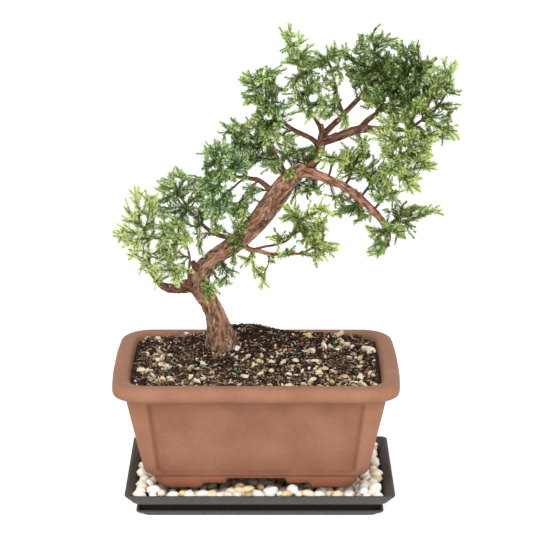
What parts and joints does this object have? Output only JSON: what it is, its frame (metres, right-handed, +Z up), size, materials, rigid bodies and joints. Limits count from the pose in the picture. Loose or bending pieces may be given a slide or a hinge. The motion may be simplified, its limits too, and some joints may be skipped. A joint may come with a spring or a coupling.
{
  "type": "juniper bonsai in pot",
  "caption": "Small juniper bonsai with a bent trunk and airy needle foliage in a footed rectangular clay pot, standing on pebbles in a shallow drip tray.",
  "frame": {"origin": "centre of the drip tray's flat underside", "axes": "+Z up along the height, +X to the right along the pot's long side seen from the front, +Y towards the back"},
  "size_m": [0.2434, 0.142, 0.346],
  "materials": {
    "tray_plastic": "dark grey moulded plastic, satin, with fine scuffs",
    "pebbles": "small rounded river pebbles, white to cream with some tan, smooth and slightly polished",
    "clay": "unglazed reddish brown stoneware, matte, fine grain, darker in the recesses",
    "screen_mesh": "black plastic drainage mesh",
    "soil": "coarse dark potting mix of bark and grit, damp",
    "grit": "angular cream and tan grit stones, rough",
    "bark": "fibrous peeling bark, grey-brown with red-brown and orange strips",
    "young_bark": "thin flaky red-brown bark of young branches",
    "foliage": "short sharp juniper needles, dark green inside to yellow-green at the tips, waxy"
  },
  "bodies": {
    "root": {"branch_arch": "young_bark", "branch_back_left": "young_bark", "branch_crown": "young_bark", "branch_inner_left": "young_bark", "branch_leader": "young_bark", "branch_left": "young_bark", "branch_low_left": "young_bark", "branch_low_right": "young_bark", "branch_plume": "young_bark", "branch_right": "young_bark", "branch_right_back": "young_bark", "branch_right_drop": "young_bark", "branch_upper_left": "young_bark", "drain_screen_left": "screen_mesh", "drain_screen_right": "screen_mesh", "drip_tray": "tray_plastic", "foliage_arch_end": "foliage", "foliage_arch_low": "foliage", "foliage_arch_top": "foliage", "foliage_back_left": "foliage", "foliage_crown": "foliage", "foliage_crown_mid": "foliage", "foliage_inner_left": "foliage", "foliage_left": "foliage", "foliage_low_left": "foliage", "foliage_low_right": "foliage", "foliage_plume": "foliage", "foliage_right": "foliage", "foliage_right_back": "foliage", "foliage_right_drop": "foliage", "foliage_trunk_top": "foliage", "foliage_upper_left": "foliage", "pebble_1": "pebbles", "pebble_10": "pebbles", "pebble_11": "pebbles", "pebble_12": "pebbles", "pebble_13": "pebbles", "pebble_14": "pebbles", "pebble_15": "pebbles", "pebble_16": "pebbles", "pebble_2": "pebbles", "pebble_3": "pebbles", "pebble_4": "pebbles", "pebble_5": "pebbles", "pebble_6": "pebbles", "pebble_7": "pebbles", "pebble_8": "pebbles", "pebble_9": "pebbles", "pebble_bed": "pebbles", "pot": "clay", "soil": "soil", "soil_stone_1": "grit", "soil_stone_2": "grit", "soil_stone_3": "grit", "soil_stone_4": "grit", "soil_stone_5": "grit", "soil_stone_6": "grit", "soil_stone_7": "grit", "soil_stone_8": "grit", "trunk": "bark"}
  },
  "joints": []
}
